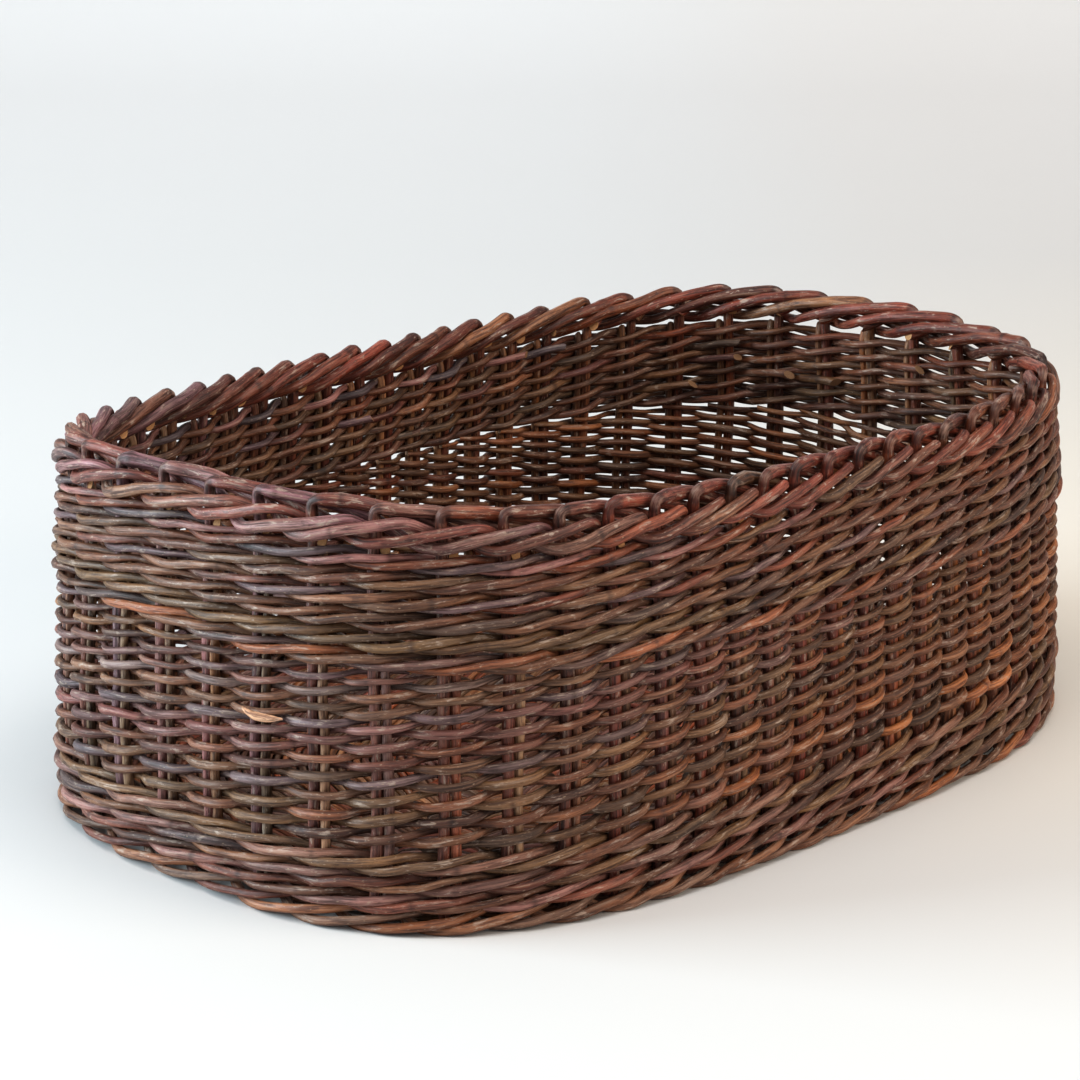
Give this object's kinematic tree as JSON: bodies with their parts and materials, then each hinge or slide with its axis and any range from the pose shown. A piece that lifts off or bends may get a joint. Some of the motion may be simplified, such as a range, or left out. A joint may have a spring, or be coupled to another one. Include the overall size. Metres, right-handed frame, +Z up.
{
  "type": "willow basket",
  "caption": "Deep oval willow basket in stake-and-strand work: stick base, waled foot, randed sides, waled top band and a border laid down from the stakes.",
  "frame": {"origin": "centre of the underside, on the surface the basket stands on", "axes": "+X along the long axis, +Y across, +Z up towards the open rim"},
  "size_m": [0.5652, 0.3892, 0.1995],
  "materials": {
    "stick_willow": "weathered brown willow bark, satin, with knots and scuffs",
    "base_willow": "weathered brown willow bark, satin, with knots and scuffs",
    "stake_willow": "weathered brown willow bark, satin, with knots and scuffs",
    "bye_willow": "weathered brown willow bark, satin, with knots and scuffs",
    "upsett_willow": "weathered brown willow bark, satin, with knots and scuffs",
    "siding_willow": "weathered brown willow bark, satin, with knots and scuffs",
    "wale_willow": "weathered brown willow bark, satin, with knots and scuffs"
  },
  "bodies": {
    "root": {"base_long_sticks": "stick_willow", "base_cross_sticks": "stick_willow", "base_weave_1": "base_willow", "base_weave_2": "base_willow", "base_weave_3": "base_willow", "base_weave_4": "base_willow", "base_weave_5": "base_willow", "base_weave_6": "base_willow", "stakes": "stake_willow", "bye_stakes": "bye_willow", "upsett_wale_1": "upsett_willow", "upsett_wale_2": "upsett_willow", "upsett_wale_3": "upsett_willow", "upsett_wale_4": "upsett_willow", "siding_rods": "siding_willow", "top_wale_1": "wale_willow", "top_wale_2": "wale_willow", "top_wale_3": "wale_willow", "top_wale_4": "wale_willow", "top_wale_5": "wale_willow", "top_wale_6": "wale_willow"}
  },
  "joints": []
}
